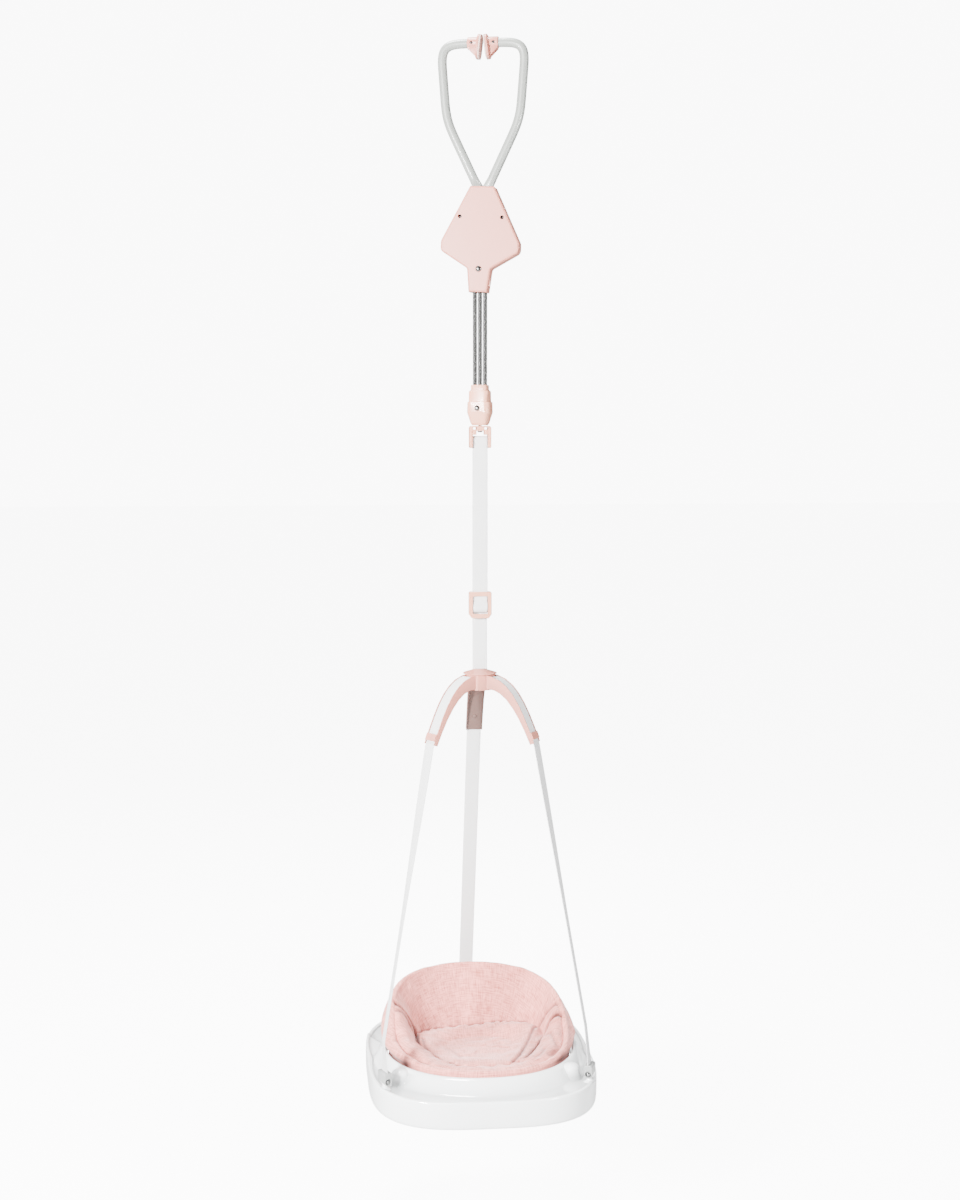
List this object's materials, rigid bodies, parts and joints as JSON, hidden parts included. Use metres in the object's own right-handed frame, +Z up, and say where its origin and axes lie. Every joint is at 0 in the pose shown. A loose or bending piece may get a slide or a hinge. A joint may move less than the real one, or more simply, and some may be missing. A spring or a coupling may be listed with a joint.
{
  "type": "baby jumper",
  "caption": "Doorway baby jumper: a sprung clamp carries springs, a swivel strap with a height buckle, and a sling seat in a tray hung by webbing straps.",
  "frame": {"origin": "the point gripped between the clamp's two pads", "axes": "+Z up, along the hanging line; the seat faces -Y; +X to the right of someone facing the seat"},
  "size_m": [0.394, 0.501, 1.7921],
  "materials": {
    "pink_plastic": "satin moulded plastic, pale pink",
    "cream_plastic": "satin moulded plastic, pale cream pink",
    "white_plastic": "glossy moulded plastic, white",
    "clip_plastic": "glossy moulded plastic, grey white",
    "grey_tube": "satin powder coat, light grey",
    "steel": "zinc-plated steel",
    "spring_steel": "oiled spring steel",
    "grip_rubber": "matt rubber",
    "webbing": "woven webbing, light grey",
    "seat_fabric": "plain woven cloth, pale pink"
  },
  "bodies": {
    "clamp_housing": {"housing_front": "pink_plastic", "housing_rear": "pink_plastic", "case_screw_left": "steel", "case_screw_right": "steel", "pivot_pin": "steel", "clamp_spring": "spring_steel", "hanger_bolt": "steel", "hanger_nut": "steel", "spring_anchor_upper": "steel", "spring_left": "spring_steel", "spring_middle": "spring_steel", "spring_right": "spring_steel"},
    "left_lever_set": {"left_lever": "grey_tube", "left_pad": "pink_plastic", "left_pad_rubber": "grip_rubber", "left_pad_screw": "steel"},
    "right_lever_set": {"right_lever": "grey_tube", "right_pad": "pink_plastic", "right_pad_rubber": "grip_rubber", "right_pad_screw": "steel"},
    "spring_holder": {"spring_anchor_lower": "steel", "barrel_front": "cream_plastic", "barrel_rear": "cream_plastic", "barrel_bolt": "steel", "barrel_nut": "steel", "swivel_washer": "steel"},
    "swivel": {"swivel_stud": "steel", "swivel_fork": "cream_plastic", "strap_pin": "steel"},
    "hanging_strap": {"strap_upper": "webbing"},
    "height_buckle": {"buckle_frame": "cream_plastic", "buckle_bar": "steel", "strap_lower": "webbing"},
    "seat": {"spreader": "pink_plastic", "spreader_cap": "pink_plastic", "spreader_pin": "steel", "spreader_rivet_left": "steel", "spreader_rivet_right": "steel", "spreader_rivet_rear": "steel", "harness_left": "webbing", "harness_right": "webbing", "harness_rear": "webbing", "clip_left": "clip_plastic", "clip_right": "clip_plastic", "clip_rear": "clip_plastic", "clip_pin_left": "steel", "clip_pin_right": "steel", "clip_pin_rear": "steel", "clip_screw_left": "steel", "clip_screw_right": "steel", "clip_screw_rear": "steel", "tray": "white_plastic", "tray_ring": "white_plastic", "seat_cloth": "seat_fabric"}
  },
  "joints": [
    {"name": "left_lever_turn", "type": "hinge", "parent": "clamp_housing", "child": "left_lever_set", "pos_m": [0, 0, -0.248], "axis": [0.2756, 0.9613, 0], "range_deg": [-12, 0], "stiffness_Nm_per_rad": 8, "springref_deg": 17.19},
    {"name": "right_lever_turn", "type": "hinge", "parent": "clamp_housing", "child": "right_lever_set", "pos_m": [0, 0, -0.248], "axis": [0.2756, 0.9613, 0], "range_deg": [0, 12], "stiffness_Nm_per_rad": 8, "springref_deg": -17.19},
    {"name": "bounce", "type": "slide", "parent": "clamp_housing", "child": "spring_holder", "axis": [0, 0, -1], "range_m": [-0.02, 0.16], "stiffness_N_per_m": 650, "springref_m": -0.0131, "deforming": ["spring_left", "spring_middle", "spring_right"]},
    {"name": "swivel_turn", "type": "hinge", "parent": "spring_holder", "child": "swivel", "pos_m": [-0.00508, 0.00146, -0.6247], "axis": [0, 0, 1], "continuous": true},
    {"name": "strap_swing", "type": "hinge", "parent": "swivel", "child": "hanging_strap", "pos_m": [-0.00508, 0.00146, -0.6475], "axis": [1, 0, 0], "range_deg": [-25, 25]},
    {"name": "buckle_slide", "type": "slide", "parent": "hanging_strap", "child": "height_buckle", "axis": [0, 0, -1], "range_m": [-0.18, 0.035], "deforming": ["strap_upper"]},
    {"name": "seat_height", "type": "slide", "parent": "height_buckle", "child": "seat", "axis": [0, 0, 1], "range_m": [-0.36, 0.07], "deforming": ["strap_lower"]}
  ],
  "couplings": [
    {"joint": "buckle_slide", "follows": "seat_height", "ratio": 0.5}
  ]
}
